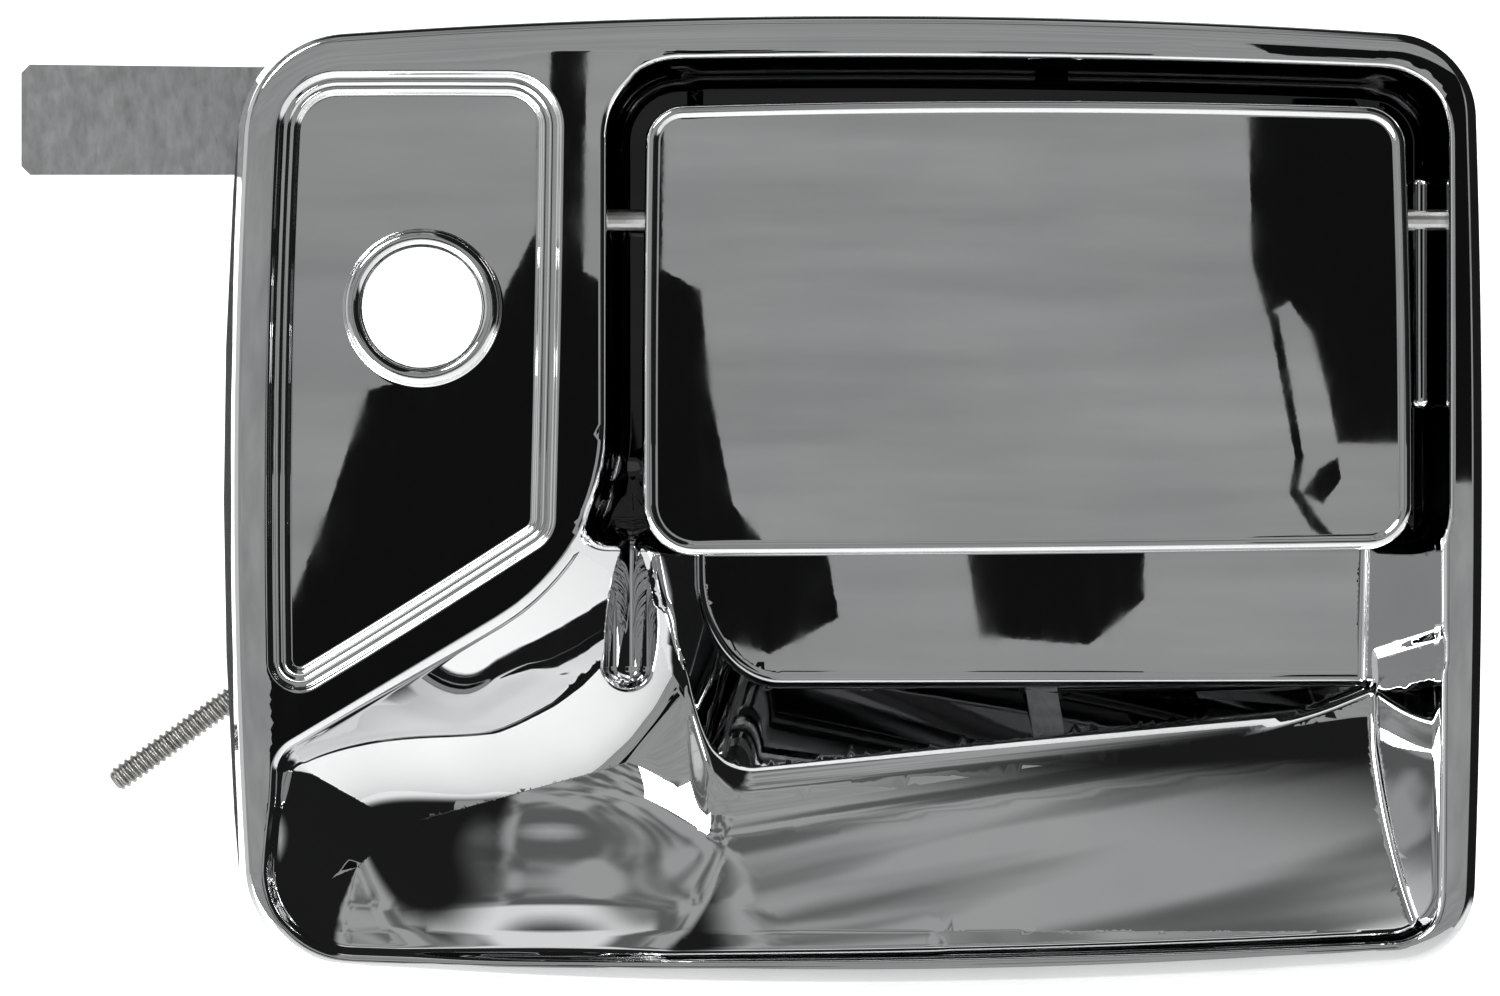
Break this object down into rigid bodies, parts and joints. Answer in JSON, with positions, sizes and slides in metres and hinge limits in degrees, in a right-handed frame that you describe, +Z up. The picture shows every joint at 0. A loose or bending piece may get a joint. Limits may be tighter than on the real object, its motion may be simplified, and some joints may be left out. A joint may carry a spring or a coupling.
{
  "type": "vehicle door handle",
  "caption": "Chromed exterior paddle door handle for a right-hand pickup door, with its lock hole, release crank and threaded release rod.",
  "frame": {"origin": "centre of the escutcheon's outline, on the plane of the door skin", "axes": "+X from the lock towards the hinge side of the door, +Y into the door, +Z up"},
  "size_m": [0.2221, 0.0465, 0.1478],
  "materials": {
    "chrome": "polished chrome plating on die-cast zinc",
    "zinc": "bare die-cast zinc, satin grain",
    "steel": "zinc-plated",
    "rod_steel": "rolled thread, plated",
    "spring_steel": "drawn wire",
    "rubber": "moulded, matt",
    "nylon": "moulded"
  },
  "bodies": {
    "escutcheon": {"escutcheon": "chrome", "gasket": "rubber", "hinge_pin": "steel", "stud_lock_side": "steel", "nut_lock_side": "steel", "stud_pocket_side": "steel", "nut_pocket_side": "steel", "pivot_bolt": "steel", "pivot_washer": "steel", "crank_spring": "spring_steel", "stop_bumper": "rubber", "paddle_spring": "spring_steel"},
    "paddle": {"paddle": "chrome", "paddle_carrier": "zinc", "carrier_screw_left": "steel", "carrier_screw_right": "steel", "hinge_bush_left": "nylon", "hinge_bush_right": "nylon", "cam_shoe": "nylon"},
    "crank": {"crank": "zinc", "crank_bush": "nylon"},
    "rod": {"release_rod": "rod_steel", "rod_clip": "nylon"}
  },
  "joints": [
    {"name": "paddle_pull", "type": "hinge", "parent": "escutcheon", "child": "paddle", "pos_m": [0.025, 0.001, 0.0423], "axis": [-1, 0, 0], "range_deg": [0, 25], "stiffness_Nm_per_rad": 0.4, "springref_deg": -14.9},
    {"name": "crank_turn", "type": "hinge", "parent": "escutcheon", "child": "crank", "pos_m": [-0.03, 0.023, 0.052], "axis": [0, 1, 0], "range_deg": [0, 11.3]},
    {"name": "rod_swing", "type": "hinge", "parent": "crank", "child": "rod", "pos_m": [-0.0132, 0.027, 0.0285], "axis": [0, 1, 0], "range_deg": [-11.3, 0]}
  ],
  "couplings": [
    {"joint": "crank_turn", "follows": "paddle_pull", "ratio": 0.452},
    {"joint": "rod_swing", "follows": "paddle_pull", "ratio": -0.452}
  ]
}
